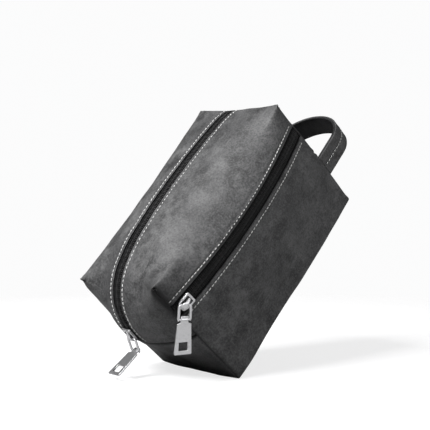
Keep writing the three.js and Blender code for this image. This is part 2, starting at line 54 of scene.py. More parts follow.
# the left zip runs along v = LEFT_V, the right zip along w = RIGHT_W
LEFT_V, RIGHT_W = 0.08, 0.5
LEFT_Y, RIGHT_Z = 9.0, HEIGHT * 0.7466
LEFT_ARC_R = HEIGHT * 0.411
LEFT_ARC_X = -(HALF_L + NEAR_BULGE + 1.04) + LEFT_ARC_R
LEFT_ARC_Z = HALF_H + CROWN + 65.5 - LEFT_ARC_R
ARC_END = 76.0  # degrees: from here the left zip leaves its arc along the tangent
BOW = 16.0
RIGHT_ARC_R = (HALF_L**2 + BOW**2) / (2 * BOW)
RIGHT_ARC_Y = RIGHT_ARC_R - HALF_W - BOW
ZIP_HALF, RIGHT_ZIP_HALF = 6.5, 7.9
STITCH_OFFSET, RIGHT_STITCH_OFFSET = 10.0, 12.4
LEATHER, TURNED_EDGE = 1.5, 0.95
FLAP_TUCK = 1.9 / HALF_W
LINING, LINING_DEPTH = 0.6, 4.2
LINING_HALF, RIGHT_LINING_HALF = 9.0, 10.4
LINING_TUCK = 7.2 / HALF_W
STITCH_PITCH, STITCH_LONG, STITCH_LIFT = 4.5, 3.2, 0.34
THREAD, HEAVY_THREAD = 0.48, 0.58
TAPE_INNER, TAPE_TOP, TAPE_BOTTOM = 0.15, 1.75, 2.3
COIL_PITCH, COIL_GAP = 2.0, 1.6

ON_FACE = 0.9999  # a cube coordinate beyond this lies on that face
FAR_OFF = 99.0  # a distance at which a seam or zip has no effect


# ---------------- the bag's skin
def smooth(x, lo, hi):
    t = np.clip((x - lo) / (hi - lo), 0, 1)
    return t * t * (3 - 2 * t)


def bell(x, width):
    return math.exp(-((x / width) ** 2))


def round_off(p, q, n):
    """The factor that pulls a point of a box's section (p across, q up) onto a rounded one."""
    m = np.maximum(np.abs(p), q) + 1e-9
    s = (np.abs(p) / m) ** n + (q / m) ** n
    return np.where(s > 1e-6, 1 / np.maximum(s, 1e-6) ** (1 / n), 1.0)


def skin(u, v, w):
    """Points of the bag's outside, in mm, from cube coordinates -1 to 1."""
    u, v, w = np.broadcast_arrays(*[np.asarray(q, float) for q in (u, v, w)])
    up, down = np.maximum(w, 0), np.maximum(-w, 0)
    end_n = np.where(u < 0, NEAR_ROUND, FAR_ROUND) / (1 - CORNER_HOLD * v * v)
    side_n = np.where(v < 0, RIGHT_ROUND, LEFT_ROUND) / (1 - CORNER_HOLD * u * u)
    k1, k2 = round_off(u, up, end_n), round_off(v, up, side_n)
    b1, b2 = round_off(u, down, BASE_ROUND), round_off(v, down, BASE_ROUND)
    full = 0.12 + 0.88 * smooth(w, -1, 0.15)
    reach = HALF_L + np.where(u < 0, NEAR_BULGE, FAR_BULGE) * (1 - v * v) * full
    wide = HALF_W + np.where(v < 0, RIGHT_BULGE, LEFT_BULGE) * (1 - u * u) * full
    high = HALF_H + CROWN * up * (1 - u * u) ** 0.7 * (1 - v * v)
    x = u * k1 * b1 * reach
    y = v * k2 * b2 * wide
    z = HALF_H + w * k1 * k2 * b1 * b2 * high
    f = (1 - smooth(np.abs(v - LEFT_V), 0.13, 0.62)) * smooth(w, -0.25, 0.05)
    left_wide = HALF_W + LEFT_BULGE * (1 - u * u) * full
    plain_y = LEFT_V * round_off(np.full_like(u, LEFT_V), up, side_n) * left_wide
    dx, dz = x - LEFT_ARC_X, z - LEFT_ARC_Z
    r = np.hypot(dx, dz) + 1e-9
    turn = np.degrees(np.arctan2(dz, -dx))
    zone = smooth(turn, -22, -2) * (1 - smooth(turn, 88, 118)) * (u < 0)
    beyond = np.radians(np.clip(turn - ARC_END, 0, 45))
    q = (LEFT_ARC_R / np.cos(beyond) / r - 1) * zone * f
    g = (1 - smooth(np.abs(w - RIGHT_W), 0.13, 0.45)) * smooth(-v, 0.55, 0.9) * (v < 0)
    bow_y = RIGHT_ARC_Y - np.sqrt(RIGHT_ARC_R**2 - x * x)
    one = np.ones_like(u)
    plain_side = -(HALF_W + RIGHT_BULGE * (1 - u * u) * full) * round_off(one, up, side_n)
    half = np.full_like(u, RIGHT_W)
    plain_z = HALF_H + RIGHT_W * HALF_H * round_off(u, half, end_n) * round_off(one, half, side_n)
    return np.stack(
        [
            x + dx * q,
            y + (bow_y - plain_side) * g + (LEFT_Y - plain_y) * f,
            z + dz * q + (RIGHT_Z - plain_z) * g,
        ],
        -1,
    )


FACES = {
    "near": (lambda s, t: (s * 0 - 1, s, t), -1),
    "far": (lambda s, t: (s * 0 + 1, s, t), 1),
    "right": (lambda s, t: (s, s * 0 - 1, t), 1),
    "left": (lambda s, t: (s, s * 0 + 1, t), -1),
    "top": (lambda s, t: (s, t, s * 0 + 1), 1),
    "base": (lambda s, t: (s, t, s * 0 - 1), -1),
}


def face_normals(face, s, t):
    """Outward normals of the skin at the points s, t of a face."""
    at, sign = FACES[face]
    e = 0.006

    def p(a, b):
        return skin(*at(np.clip(a, -1, 1), np.clip(b, -1, 1)))

    n = np.cross(p(s + e, t) - p(s - e, t), p(s, t + e) - p(s, t - e)) * sign
    return n / (np.linalg.norm(n, axis=-1, keepdims=True) + 1e-12)


def inward_step(normals):
    """The move that sinks every face round a point by one unit, from the faces' normals."""
    kinds = []
    for n in normals:
        for k in kinds:
            if np.dot(k, n) / np.linalg.norm(k) > 0.97:
                k += n
                break
        else:
            kinds.append(np.array(n))
    kinds = [k / np.linalg.norm(k) for k in kinds]
    if len(kinds) == 1:
        return -kinds[0]
    if len(kinds) == 2:
        return -(kinds[0] + kinds[1]) / (1 + np.dot(kinds[0], kinds[1]))
    p, q, r = kinds[:3]
    det = np.dot(p, np.cross(q, r))
    return -(np.cross(q, r) + np.cross(r, p) + np.cross(p, q)) / det


# ---------------- relief of the leather
def to_corner(u, v, on_end):
    """Distance in mm to the nearest corner seam, along the face that the point lies on."""
    return (1 - abs(v)) * HALF_W if on_end else (1 - abs(u)) * HALF_L


def relief(u, v, w, p):
    """How far a point of the leather is sunk, in mm: seams, turned edges, stitches, dents."""
    d = 0.0
    on_end = abs(u) > ON_FACE
    if on_end or abs(v) > ON_FACE:
        side = to_corner(u, v, on_end)
        open_up = 1.0 + 0.9 * float(smooth(w, 0.45, 0.95))
        hold = float(smooth(w, -1, -0.84)) * (1 - 0.5 * float(smooth(w, 0.97, 1.0)))
        d += 2.1 * hold * open_up * bell(side, 1.35 * open_up)
        d -= 0.45 * hold * bell(side - 4.6, 2.2)
    # the seam across each end, from the right corner to the left zip
    if on_end and v < LEFT_V + 0.02:
        away = abs(p[2] - HALF_H) if w < 0.3 else FAR_OFF
        d += 2.6 * bell(away, 1.2)
        d -= 0.5 * bell(away - 3.8, 2.2)
    # beside the zips: a turned edge, and the stitches pull the leather down
    far = FAR_OFF
    if w > ON_FACE or (on_end and w > -0.01):
        far = abs(p[1] - LEFT_Y)
    if v < -ON_FACE:
        far = min(far, abs(p[2] - RIGHT_Z) - (RIGHT_ZIP_HALF - ZIP_HALF))
        row = abs(p[2] - RIGHT_Z) - RIGHT_STITCH_OFFSET
    else:
        row = far - STITCH_OFFSET
    if far < 30:
        edge = far - ZIP_HALF
        if edge < TURNED_EDGE:
            k = max(0.0, 1 - max(edge, 0) / TURNED_EDGE)
            d += 0.85 * (1 - math.sqrt(max(0.0, 1 - k * k)))
        d += 0.42 * bell(row, 0.85)
        d -= 0.22 * bell(row + 1.8, 1.0)
        d -= 0.15 * bell(row - 2.2, 1.3)
    # soft, slow dents of leather that has been handled
    calm = float(smooth(far, 9, 34)) if far < FAR_OFF else 1.0
    q = Vector((p[0] / 62, p[1] / 62, p[2] / 62)) + Vector((3.1, 7.7, 1.9))
    d += 1.5 * calm * noise.noise(q)
    d += 0.5 * calm * noise.noise(q * 2.6)
    # the middle of the base lies flat
    if p[2] < 12 and w < -0.9 and abs(u) < 0.9 and abs(v) < 0.9:
        d *= float(smooth(p[2], -1, 12))
    return d


def painted_seam_shade(u, v, w, p):
    """Painted shade on the hide at a point, from 0 to 1: seam and crease shadows, the near end's
    shade.
    """
    dark = 0.0
    on_end = abs(u) > ON_FACE
    # painted shadow in the corner seams' grooves; at the near right corner a wider, darker one for
    # the concave crease
    if on_end or abs(v) > ON_FACE:
        side = to_corner(u, v, on_end)
        near_right = u < 0 and v < 0
        crease = float(smooth(w, 0.3, 0.7) if near_right else 0.3 * smooth(w, 0.4, 0.9))
        wide = 1.15 + 1.35 * crease
        dark = bell(side, wide) + 0.6 * crease * bell(side, 9.0)
        dark += 0.16 * bell(side, 4.0)
    # painted shade on the near end's lower part, which faces away from the light
    if on_end and u < 0:
        end_shade = smooth(-w, -0.35, 0.75) * (1 - smooth(v, 0.0, 0.6))
        dark = max(dark, 0.42 * float(end_shade))
    # painted shadow in the groove of the seam across each end
    if on_end and v < LEFT_V + 0.02 and w < 0.3:
        away = abs(p[2] - HALF_H)
        dark = max(dark, bell(away, 1.35) + 0.22 * bell(away, 4.5))
    return min(1.0, 1.1 * dark)


# ---------------- meshes
def make_object(name, verts, faces, body, finish, seam=None):
    """A smooth piece that rides on a body, with painted seam shade at each vertex where one is
    given.
    """
    mesh = bpy.data.meshes.new(name)
    mesh.from_pydata([tuple(p) for p in verts], [], faces)
    # the seam attribute: painted shade for the hide's material
    if seam is not None:
        layer = mesh.color_attributes.new("seam", "FLOAT_COLOR", "POINT")
        layer.data.foreach_set("color", np.repeat(np.asarray(seam)[:, None], 4, 1).ravel())
    mesh.validate()
    mesh.update()
    mesh.polygons.foreach_set("use_smooth", [True] * len(mesh.polygons))
    obj = bpy.data.objects.new(name, mesh)
    bpy.context.scene.collection.objects.link(obj)
    mesh.materials.append(finish)
    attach(obj, body)
    return obj


RELAX_ROUNDS = 160


def relaxed(pts, P, quads):
    """Points eased toward their neighbours where the top rolls over to the right side."""
    pairs = {tuple(sorted((q[k], q[(k + 1) % 4]))) for q in quads for k in range(4)}
    pairs = np.array(sorted(pairs))
    u, v, w = P.T
    on_right = np.where(v < -ON_FACE, smooth(w, 0.665, 0.78), 0)
    near_top = np.where(w > ON_FACE, smooth(-v, 0.42, 0.8), on_right)
    weight = near_top * (1 - smooth(np.abs(u), 0.74, 0.95)) * 0.5
    count = np.bincount(pairs.ravel(), minlength=len(pts)).astype(float)
    for _ in range(RELAX_ROUNDS):
        total = np.zeros_like(pts)
        for axis in range(3):
            total[:, axis] = np.bincount(pairs[:, 0], pts[pairs[:, 1], axis], len(pts))
            total[:, axis] += np.bincount(pairs[:, 1], pts[pairs[:, 0], axis], len(pts))
        pts = pts + (total / count[:, None] - pts) * weight[:, None]
    return pts


def shell(patches, depth, thickness, dented=True):
    """Verts (m), faces and painted seam shades of a panel: outside sunk by depth, inside and rim.
    """
    index, params, normals, quads = {}, [], [], []
    for face, along, across, shift in patches:
        at, sign = FACES[face]
        s, t = np.meshgrid(along, across, indexing="ij")
        s, t = s.copy(), t.copy()
        if shift:
            shift(s, t)
        nrm = face_normals(face, s, t)
        uvw = np.stack(np.broadcast_arrays(*at(s, t)), -1)
        ids = np.empty(s.shape, int)
        for i in range(s.shape[0]):
            for j in range(s.shape[1]):
                key = tuple(np.round(uvw[i, j], 6) + 0.0)
                if key not in index:
                    index[key] = len(params)
                    params.append(key)
                    normals.append([])
                ids[i, j] = index[key]
                normals[ids[i, j]].append(nrm[i, j])
        for i in range(s.shape[0] - 1):
            for j in range(s.shape[1] - 1):
                quad = (ids[i, j], ids[i + 1, j], ids[i + 1, j + 1], ids[i, j + 1])
                quads.append(tuple(int(q) for q in (quad if sign > 0 else quad[::-1])))
    P = np.array(params)
    pts = relaxed(skin(P[:, 0], P[:, 1], P[:, 2]), P, quads)
    steps = np.array([inward_step(n) for n in normals])
    sunk = seam = np.zeros(len(P))
    if dented:
        sunk = np.array([relief(*k, p) for k, p in zip(P, pts)])
        seam = np.array([painted_seam_shade(*k, p) for k, p in zip(P, pts)])
    outer = pts + steps * (depth + sunk)[:, None]
    inner = pts + steps * (depth + sunk + thickness)[:, None]
    edges = set()
    for q in quads:
        for k in range(4):
            edges.add((q[k], q[(k + 1) % 4]))
    n = len(pts)
    faces = quads + [tuple(k + n for k in q[::-1]) for q in quads]
    faces += [(b, a, a + n, b + n) for a, b in sorted(edges) if (b, a) not in edges]
    return np.vstack([outer, inner]) * MM, faces, np.concatenate([seam, seam])


def spread(lo, hi, step, fine=()):
    """Values from lo to hi (in mm of run) with extra lines at the listed ones."""
    base = list(np.linspace(lo, hi, max(2, int(round((hi - lo) / step)) + 1)))
    keep = [b for b in base if all(abs(b - f) > step * 0.3 for f in fine)]
    return sorted(set(round(x, 4) for x in keep + [f for f in fine if lo - 1e-6 <= f <= hi + 1e-6]))


# distances of extra grid lines from a corner seam, an end seam and a zip's edge
CORNER = [0, 0.4, 0.8, 1.2, 1.6, 2.1, 2.7, 3.5, 5, 7, 9.5]
SEAM_RUN = [0, 0.4, 0.8, 1.3, 2, 3, 4.2, 6]
EDGE_RUN = [0, 0.1, 0.28, 0.55, 1.0, 1.7, 2.5, 3.0, 3.5, 4.0, 4.5, 5.0, 5.8, 7, 9]
ENDS = [-HALF_L + c for c in CORNER] + [HALF_L - c for c in CORNER]
U = np.array(spread(-HALF_L, HALF_L, 3.2, ENDS)) / HALF_L
U_COARSE = U[::2] if len(U) % 2 else np.append(U[::2], 1.0)


def v_right(half):
    z = LEFT_V * HALF_W - half
    fine = [-HALF_W + c for c in CORNER] + [z - e for e in EDGE_RUN]
    return np.array(spread(-HALF_W, z, 3.0, fine)) / HALF_W


def v_left(half):
    z = LEFT_V * HALF_W + half
    fine = [HALF_W - c for c in CORNER] + [z + e for e in EDGE_RUN]
    return np.array(spread(z, HALF_W, 3.0, fine)) / HALF_W


def w_low():
    return np.array(spread(-HALF_H, 0, 3.2, [-e for e in SEAM_RUN])) / HALF_H


def w_mid(half):
    z = RIGHT_W * HALF_H - half
    return np.array(spread(0, z, 3.0, SEAM_RUN + [z - e for e in EDGE_RUN])) / HALF_H


def w_high(half):
    z = RIGHT_W * HALF_H + half
    return np.array(spread(z, HALF_H, 2.6, [z + e for e in EDGE_RUN])) / HALF_H


def wrap_patches(half, right_half, u=U):
    """Faces of the wrap with their grid lines, for openings of these half widths."""
    v = np.concatenate([v_right(half), v_left(half)])
    w_lm = np.concatenate([w_low(), w_mid(right_half)[1:]])
    w_all = np.concatenate([w_lm, w_high(right_half)])
    w_up = w_all[w_all >= 0]
    return [
        ("base", u, v, None),
        ("right", u, w_lm, None),
        ("left", u, w_all, None),
        ("top", u, v_left(half), None),
        ("near", v, w_low(), None),
        ("far", v, w_low(), None),
        ("near", v_left(half), w_up, None),
        ("far", v_left(half), w_up, None),
    ]


def flap_patches(half, right_half, tuck, u=U):
    """Faces of the flap; below the right zip its near and far ends stop short of the corner."""
    v = v_right(half)
    w_up = np.concatenate([w_mid(right_half), w_high(right_half)])
    w_up[0] = 0.15 / HALF_H

    def tucked(s, t):
        low = t < RIGHT_W
        s[low & (s <= -ON_FACE)] = -1 + tuck

    return [
        ("top", u, v, None),
        ("right", u, w_high(right_half), None),
        ("near", v, w_up, tucked),
        ("far", v, w_up, tucked),
    ]


# ---------------- materials
COLOUR_OUT = ("Colour", "NodeSocketColor")
ROUGH_OUT = ("Roughness", "NodeSocketFloat")
NORMAL_OUT = ("Normal", "NodeSocketVector")


def new_group(name, ins, outs):
    """An empty node group with its sockets: the tree, its input node and its output node."""
    tree = bpy.data.node_groups.new(name, "ShaderNodeTree")
    for label, kind, default in ins:
        s = tree.interface.new_socket(name=label, in_out="INPUT", socket_type=kind)
        s.default_value = default
    for label, kind in outs:
        tree.interface.new_socket(name=label, in_out="OUTPUT", socket_type=kind)
    return tree, tree.nodes.new("NodeGroupInput"), tree.nodes.new("NodeGroupOutput")


def wire(tree, *pairs):
    for source, target in pairs:
        tree.links.new(source, target)


def set_value(tree, socket, value):
    """Gives a socket a plain value, or links it where the value is another socket."""
    if isinstance(value, (tuple, float, int)):
        socket.default_value = value
    else:
        tree.links.new(value, socket)


def noise_node(tree, scale, detail, rough, vec):
    n = tree.nodes.new("ShaderNodeTexNoise")
    n.inputs["Scale"].default_value = scale
    n.inputs["Detail"].default_value = detail
    n.inputs["Roughness"].default_value = rough
    tree.links.new(vec, n.inputs["Vector"])
    return n.outputs["Fac"]


def bump_to(tree, height, strength, distance, target):
    bump = tree.nodes.new("ShaderNodeBump")
    bump.inputs["Strength"].default_value = strength
    bump.inputs["Distance"].default_value = distance
    wire(tree, (height, bump.inputs["Height"]), (bump.outputs["Normal"], target))


def ramp(tree, source, lo, hi, a=0.0, b=1.0):
    m = tree.nodes.new("ShaderNodeMapRange")
    m.inputs["From Min"].default_value = lo
    m.inputs["From Max"].default_value = hi
    m.inputs["To Min"].default_value = a
    m.inputs["To Max"].default_value = b
    tree.links.new(source, m.inputs["Value"])
    return m.outputs["Result"]


def mix_colour(tree, factor, a, b):
    m = tree.nodes.new("ShaderNodeMix")
    m.data_type = "RGBA"
    for value, k in ((factor, 0), (a, 6), (b, 7)):
        set_value(tree, m.inputs[k], value)
    return m.outputs[2]


def math_node(tree, op, a, b):
    m = tree.nodes.new("ShaderNodeMath")
    m.operation = op
    set_value(tree, m.inputs[0], a)
    set_value(tree, m.inputs[1], b)
    return m.outputs[0]


def leather_group():
    """Waxed hide: pale haze and dark stains at several scales, near black where the seam attribute
    paints shade.
    """
    tree, gi, go = new_group(
        "MottledHide",
        [
            ("Base", "NodeSocketColor", (0.05, 0.05, 0.052, 1)),
            ("Haze", "NodeSocketColor", (0.09, 0.09, 0.092, 1)),
            ("Stain", "NodeSocketColor", (0.02, 0.02, 0.021, 1)),
        ],
        [COLOUR_OUT, ROUGH_OUT, NORMAL_OUT],
    )
    vec = tree.nodes.new("ShaderNodeTexCoord").outputs["Object"]
    # the seam attribute holds painted shade: shadows of the seam grooves, the crease and the near
    # end
    painted_shade_mask = tree.nodes.new("ShaderNodeAttribute")
    painted_shade_mask.attribute_name = "seam"
    broad = noise_node(tree, 21.0, 4.0, 0.6, vec)
    mid = noise_node(tree, 85.0, 5.0, 0.7, vec)
    fine = noise_node(tree, 520.0, 3.0, 0.7, vec)
    stain = noise_node(tree, 46.0, 6.0, 0.72, vec)
    creased = noise_node(tree, 150.0, 6.0, 0.7, vec)
    patches = ramp(tree, broad, 0.36, 0.64)
    haze = math_node(tree, "MULTIPLY", patches, ramp(tree, mid, 0.36, 0.62, 0.3, 1.0))
    c = gi.outputs["Base"]
    for factor, colour in (
        (haze, gi.outputs["Haze"]),
        (ramp(tree, stain, 0.46, 0.62, 0.0, 0.86), gi.outputs["Stain"]),
        (ramp(tree, fine, 0.5, 0.66, 0.0, 0.55), gi.outputs["Haze"]),
        (ramp(tree, fine, 0.5, 0.34, 0.0, 0.62), gi.outputs["Stain"]),
        # painted shade, mixed in by the seam attribute
        (painted_shade_mask.outputs["Fac"], (0.0035, 0.0035, 0.0037, 1)),
    ):
        c = mix_colour(tree, factor, c, colour)
    slow = ramp(tree, mid, 0.3, 0.7, 0.46, 0.62)
    rough = math_node(tree, "ADD", slow, ramp(tree, fine, 0.3, 0.7, -0.04, 0.04))
    wire(tree, (c, go.inputs["Colour"]), (rough, go.inputs["Roughness"]))
    cells = tree.nodes.new("ShaderNodeTexVoronoi")
    cells.feature = "DISTANCE_TO_EDGE"
    cells.inputs["Scale"].default_value = 900.0
    tree.links.new(vec, cells.inputs["Vector"])
    pores = math_node(tree, "MULTIPLY", ramp(tree, cells.outputs["Distance"], 0.0, 0.18), 0.35)
    height = math_node(tree, "ADD", pores, math_node(tree, "MULTIPLY", creased, 1.3))
    bump_to(tree, height, 0.35, 0.0006, go.inputs["Normal"])
    return tree


def weave_group():
    """Crossed threads, as of cloth, tape and twine."""
    tree, gi, go = new_group(
        "Weave",
        [
            ("Dark", "NodeSocketColor", (0.005, 0.005, 0.006, 1)),
            ("Light", "NodeSocketColor", (0.02, 0.02, 0.022, 1)),
            ("Scale", "NodeSocketFloat", 900.0),
        ],
        [COLOUR_OUT, NORMAL_OUT],
    )
    vec = tree.nodes.new("ShaderNodeTexCoord").outputs["Object"]
    waves = []
    for axis in ("X", "Y", "Z"):
        wave = tree.nodes.new("ShaderNodeTexWave")
        wave.bands_direction = axis
        wave.inputs["Distortion"].default_value = 0.6
        wave.inputs["Detail"].default_value = 1.0
        wire(tree, (gi.outputs["Scale"], wave.inputs["Scale"]), (vec, wave.inputs["Vector"]))
        waves.append(wave.outputs["Fac"])
    both = math_node(tree, "MULTIPLY", waves[0], math_node(tree, "ADD", waves[1], waves[2]))
    c = mix_colour(tree, ramp(tree, both, 0.1, 1.2), gi.outputs["Dark"], gi.outputs["Light"])
    tree.links.new(c, go.inputs["Colour"])
    bump_to(tree, both, 0.5, 0.0003, go.inputs["Normal"])
    return tree


def metal_group():
    """Plated metal that has been handled: faint dull patches and a fine unevenness."""
    tree, gi, go = new_group(
        "HandledMetal",
        [
            ("Metal", "NodeSocketColor", (0.7, 0.7, 0.71, 1)),
            ("Dull", "NodeSocketColor", (0.58, 0.58, 0.59, 1)),
        ],
        [COLOUR_OUT, ROUGH_OUT, NORMAL_OUT],
    )
    vec = tree.nodes.new("ShaderNodeTexCoord").outputs["Object"]
    a = noise_node(tree, 300.0, 4.0, 0.6, vec)
    b = noise_node(tree, 2500.0, 3.0, 0.6, vec)
    c = mix_colour(tree, ramp(tree, a, 0.45, 0.75), gi.outputs["Metal"], gi.outputs["Dull"])
    rough = ramp(tree, a, 0.3, 0.7, 0.3, 0.38)
    wire(tree, (c, go.inputs["Colour"]), (rough, go.inputs["Roughness"]))
    bump_to(tree, b, 0.06, 0.00005, go.inputs["Normal"])
    return tree


def material(name, group, values, sockets, fixed):
    """A material: the group's own values, its outputs' sockets, and the shader's fixed values."""
    mat = bpy.data.materials.new(name)
    mat.use_nodes = True
    tree = mat.node_tree
    bsdf = next(n for n in tree.nodes if n.type == "BSDF_PRINCIPLED")
    node = tree.nodes.new("ShaderNodeGroup")
    node.node_tree = group
    for k, val in values.items():
        node.inputs[k].default_value = val
    for out, target in sockets.items():
        tree.links.new(node.outputs[out], bsdf.inputs[target])
    for k, val in fixed.items():
        bsdf.inputs[k].default_value = val
    return mat


HIDE, WEAVE, METAL = leather_group(), weave_group(), metal_group()
FULL = {"Colour": "Base Color", "Roughness": "Roughness", "Normal": "Normal"}
CLOTH = {"Colour": "Base Color", "Normal": "Normal"}
leather = material(
    "leather",
    HIDE,
    {
        "Base": (0.043, 0.043, 0.044, 1),
        "Haze": (0.104, 0.104, 0.105, 1),
        "Stain": (0.016, 0.016, 0.0165, 1),
    },
    FULL,
    {"Specular IOR Level": 0.26},
)
# a much darker copy of the hide for the handle's inner layer: painted shade of the loop's inside
leather_inside = material(
    "leather_inside",
    HIDE,
    {
        "Base": (0.012, 0.012, 0.013, 1),
        "Haze": (0.022, 0.022, 0.023, 1),
        "Stain": (0.006, 0.006, 0.006, 1),
    },
    FULL,
    {"Specular IOR Level": 0.3},
)
lining_cloth = material(
    "lining",
    WEAVE,
    {"Dark": (0.01, 0.01, 0.011, 1), "Light": (0.03, 0.03, 0.032, 1), "Scale": 500.0},
    CLOTH,
    {"Roughness": 0.85},
)
tape_cloth = material(
    "zip_tape",
    WEAVE,
    {"Dark": (0.002, 0.002, 0.0022, 1), "Light": (0.008, 0.008, 0.0085, 1)},
    CLOTH,
    {"Roughness": 0.8, "Specular IOR Level": 0.12},
)
coil_nylon = material(
    "zip_coil",
    WEAVE,
    {"Dark": (0.006, 0.006, 0.0062, 1), "Light": (0.018, 0.018, 0.0185, 1), "Scale": 60.0},
    {"Colour": "Base Color"},
    {"Roughness": 0.45, "Specular IOR Level": 0.2},
)
thread_wax = material(
    "thread",
    WEAVE,
    {"Dark": (0.5, 0.5, 0.49, 1), "Light": (0.82, 0.82, 0.81, 1), "Scale": 1400.0},
    CLOTH,
    {"Roughness": 0.6},
)
nickel = material("nickel", METAL, {}, FULL, {"Metallic": 1.0})
# near-black metal for the slider's crown plate: painted shade of the recess inside the frame,
# standing also for the opening onto the dark coil
nickel_painted_shade = material(
    "nickel_painted_shade",
    METAL,
    {"Metal": (0.1, 0.1, 0.1, 1), "Dull": (0.05, 0.05, 0.05, 1)},
    FULL,
    {"Metallic": 1.0},
)

# ---------------- leather and lining
# seam: painted shade at each vertex of the leather
verts, faces, seam = shell(wrap_patches(ZIP_HALF, RIGHT_ZIP_HALF), 0.0, LEATHER)
wrap = make_object("wrap_leather", verts, faces, "bag", leather, seam=seam)
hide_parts("wrap_panel")
verts, faces, seam = shell(flap_patches(ZIP_HALF, RIGHT_ZIP_HALF, FLAP_TUCK), 0.0, LEATHER)
flap = make_object("flap_leather", verts, faces, "bag", leather, seam=seam)
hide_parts("flap_panel")

openings = (LINING_HALF, RIGHT_LINING_HALF)
patches = wrap_patches(*openings, u=U_COARSE)
verts, faces, _ = shell(patches, LINING_DEPTH, LINING, dented=False)
wrap_cloth = make_object("wrap_cloth", verts, faces, "bag", lining_cloth)
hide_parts("wrap_lining")
patches = flap_patches(*openings, LINING_TUCK, u=U_COARSE)
verts, faces, _ = shell(patches, LINING_DEPTH, LINING, dented=False)
flap_cloth = make_object("flap_cloth", verts, faces, "bag", lining_cloth)
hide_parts("flap_lining")


# ---------------- lines on the skin
def line_on(points_uvw, faces_of):
    """Points (mm), outward normals for a dense line of cube coordinates."""
    pts, nrm = [], []
    for (u, v, w), face in zip(points_uvw, faces_of):
        pts.append(skin(u, v, w))
        s, t = {"near": (v, w), "far": (v, w), "top": (u, v), "right": (u, w)}[face]
        nrm.append(face_normals(face, np.array(s), np.array(t)))
    return np.array(pts), np.array(nrm)


def left_line(offset):
    """Beside the left zip: from the near end's seam, over the top, to the far end's seam."""
    v = LEFT_V + offset / HALF_W
    near = [(-1, v, w) for w in np.linspace(0, 1, 60)[:-1]]
    top = [(u, v, 1) for u in np.linspace(-1, 1, 170)]
    far = [(1, v, w) for w in np.linspace(1, 0, 50)[1:]]
    faces_of = ["near"] * len(near) + ["top"] * len(top) + ["far"] * len(far)
    return line_on(near + top + far, faces_of)


def right_line(offset):
    """Beside the right zip, from the near end to the far end."""
    w = RIGHT_W + offset / HALF_H
    uvw = [(u, -1, w) for u in np.linspace(-1, 1, 170)]
    return line_on(uvw, ["right"] * len(uvw))


class Track:
    """A line with length, position, direction, normal and across at any distance along it."""

    def __init__(self, pts, nrm):
        seg = np.linalg.norm(np.diff(pts, axis=0), axis=1)
        keep = np.concatenate([[True], seg > 1e-5])
        self.pts, self.nrm = pts[keep], nrm[keep]
        for _ in range(3):
            self.nrm[1:-1] = (self.nrm[:-2] + self.nrm[1:-1] * 2 + self.nrm[2:]) / 4
        self.nrm /= np.linalg.norm(self.nrm, axis=1, keepdims=True)
        self.s = np.concatenate([[0], np.cumsum(np.linalg.norm(np.diff(self.pts, axis=0), axis=1))])
        self.length = self.s[-1]

    def point(self, s):
        return np.array([np.interp(s, self.s, self.pts[:, k]) for k in range(3)])

    def at(self, s):
        p, a, b = self.point(s), self.point(s - 0.6), self.point(s + 0.6)
        t = (b - a) / (np.linalg.norm(b - a) + 1e-12)
        n = np.array([np.interp(s, self.s, self.nrm[:, k]) for k in range(3)])
        n = n - t * np.dot(n, t)
        n /= np.linalg.norm(n)
        return p, t, n, np.cross(n, t)


def loft_faces(start, rows, around):
    """Faces of a closed form: rows of points that run around it, and a cap at each end."""
    faces = []
    for i in range(rows):
        a, b = start + i * around, start + (i + 1) * around
        for k in range(around):
            k2 = (k + 1) % around
            faces.append((a + k, a + k2, b + k2, b + k))
    last = start + rows * around
    faces.append(tuple(range(start, start + around))[::-1])
    faces.append(tuple(range(last, last + around)))
    return faces


def tube(verts, faces, path, radii, sides, up):
    """Adds a round tube with closed ends along path (mm), with a radius at each point."""
    start = len(verts)
    for p, t, r in zip(path, np.gradient(np.array(path), axis=0), radii):
        t = t / (np.linalg.norm(t) + 1e-12)
        a = np.cross(t, up)
        a /= np.linalg.norm(a) + 1e-12
        b = np.cross(t, a)
        for k in range(sides):
            q = 2 * math.pi * k / sides
            verts.append((p + a * r * math.cos(q) + b * r * math.sin(q)) * MM)
    faces.extend(loft_faces(start, len(path) - 1, sides))


def stitches(track, margin, sink=0.42, slant=0.12, thick=THREAD):
    """A row of single stitches: each comes up out of its hole and goes down into the next."""
    verts, faces = [], []
    rng = random.Random(7)
    for k in range(int((track.length - margin - margin) / STITCH_PITCH)):
        s0 = margin + k * STITCH_PITCH + rng.uniform(-0.12, 0.12)
        path, radii = [], []
        for j in range(9):
            q = j / 8
            p, _, n, c = track.at(s0 + q * STITCH_LONG)
            h = (sink + STITCH_LIFT) * (1 - (2 * q - 1) ** 4) - sink - 0.42
            path.append(p + n * h + c * (slant * (q - 0.5) * 2))
            radii.append(thick * (1 - 0.35 * abs(2 * q - 1) ** 3))
        tube(verts, faces, path, radii, 8, up=n)
    return verts, faces


ROWS = [
    ("left_stitches_outer", left_line(STITCH_OFFSET), THREAD, "left_zip_stitches_outer"),
    ("left_stitches_inner", left_line(-STITCH_OFFSET), THREAD, "left_zip_stitches_inner"),
    ("right_stitches_upper", right_line(RIGHT_STITCH_OFFSET), THREAD, "right_zip_stitches_upper"),
    (
        "right_stitches_lower",
        right_line(-RIGHT_STITCH_OFFSET),
        HEAVY_THREAD,
        "right_zip_stitches_lower",
    ),
]
for name, line, thick, node in ROWS:
    verts, faces = stitches(Track(*line), 3.0, thick=thick)
    row = make_object(name, verts, faces, "bag", thread_wax)
    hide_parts(node)


